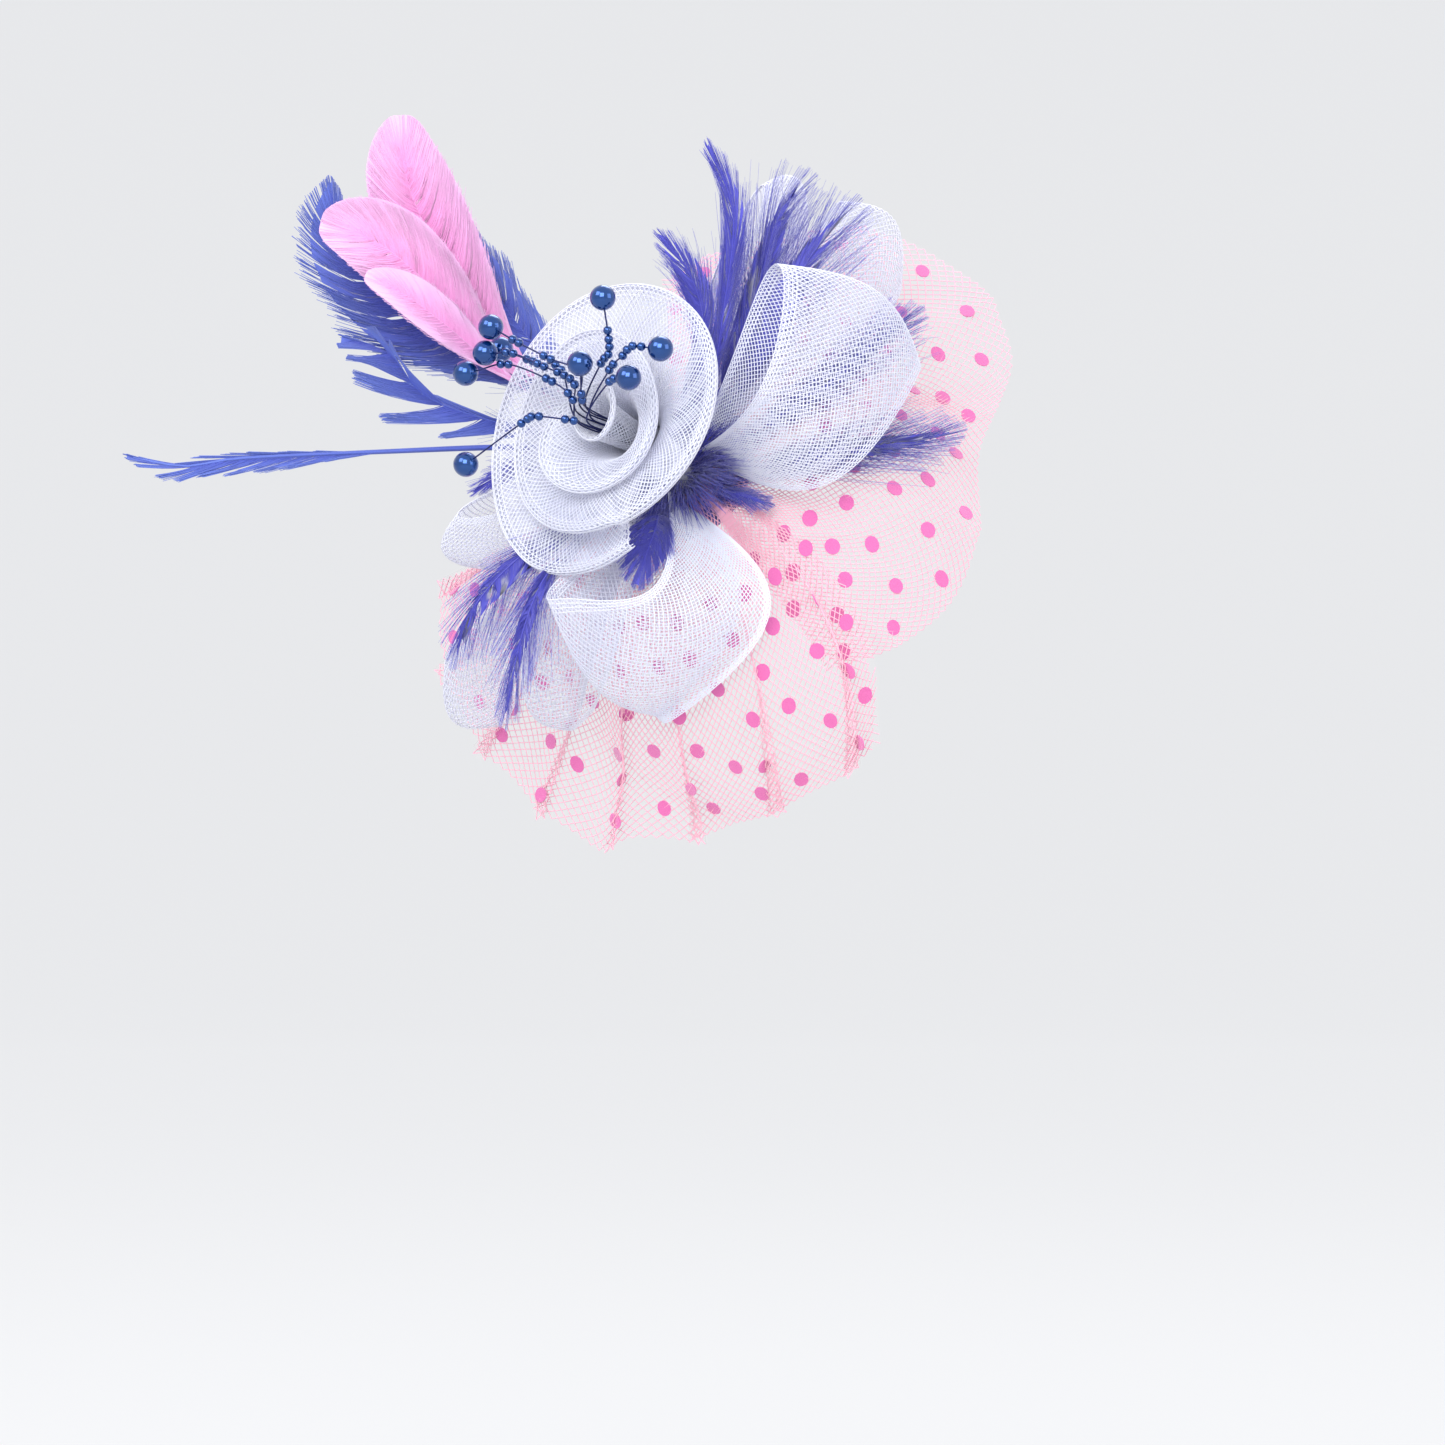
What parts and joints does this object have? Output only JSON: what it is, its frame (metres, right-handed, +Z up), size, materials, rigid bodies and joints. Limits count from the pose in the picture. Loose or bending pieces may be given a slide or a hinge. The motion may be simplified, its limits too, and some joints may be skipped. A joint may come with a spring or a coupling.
{
  "type": "fascinator hat",
  "caption": "Fascinator hat: white crin rose and loops, pink dotted net in two tiers, pink and blue feathers and pearls on beaded wires, on a clip-on felt base.",
  "frame": {"origin": "middle of the felt base's underside, where the hat sits on the head", "axes": "+X to the right of the picture's front view, +Y into the picture towards the head, +Z up as worn"},
  "size_m": [0.3193, 0.1547, 0.2638],
  "materials": {
    "blue_felt": "matte",
    "steel": "satin",
    "white_crin": "satin",
    "pink_net": "matte",
    "pink_feather": "matte",
    "blue_feather": "matte",
    "blue_pearl": "gloss",
    "blue_wire": "satin"
  },
  "bodies": {
    "root": {"felt_base": "blue_felt", "hair_clip": "steel", "crin_rose": "white_crin", "crin_loop_right": "white_crin", "crin_loop_lower": "white_crin", "crin_loop_lower_left": "white_crin", "crin_loop_far_left": "white_crin", "crin_loop_back_left": "white_crin", "crin_loop_top": "white_crin", "crin_loop_top_back": "white_crin", "veil_upper": "pink_net", "veil_lower": "pink_net", "pink_feather_upper": "pink_feather", "pink_feather_front": "pink_feather", "pink_feather_low": "pink_feather", "blue_feather_backing_left": "blue_feather", "blue_feather_backing_right": "blue_feather", "blue_feather_split": "blue_feather", "blue_feather_long": "blue_feather", "hackle_left": "blue_feather", "hackle_lower_left": "blue_feather", "hackle_down": "blue_feather", "hackle_mouth": "blue_feather", "hackle_small_right": "blue_feather", "hackle_right": "blue_feather", "hackle_far_right": "blue_feather", "hackle_upper_right": "blue_feather", "hackle_top_right": "blue_feather", "hackle_top": "blue_feather", "hackle_top_left": "blue_feather", "pearl_1": "blue_pearl", "bead_wire_1": "blue_wire", "pearl_2": "blue_pearl", "bead_wire_2": "blue_wire", "pearl_3": "blue_pearl", "bead_wire_3": "blue_wire", "pearl_4": "blue_pearl", "bead_wire_4": "blue_wire", "pearl_5": "blue_pearl", "bead_wire_5": "blue_wire", "pearl_6": "blue_pearl", "bead_wire_6": "blue_wire", "pearl_7": "blue_pearl", "bead_wire_7": "blue_wire", "pearl_8": "blue_pearl", "bead_wire_8": "blue_wire", "pearl_9": "blue_pearl", "bead_wire_9": "blue_wire"}
  },
  "joints": []
}
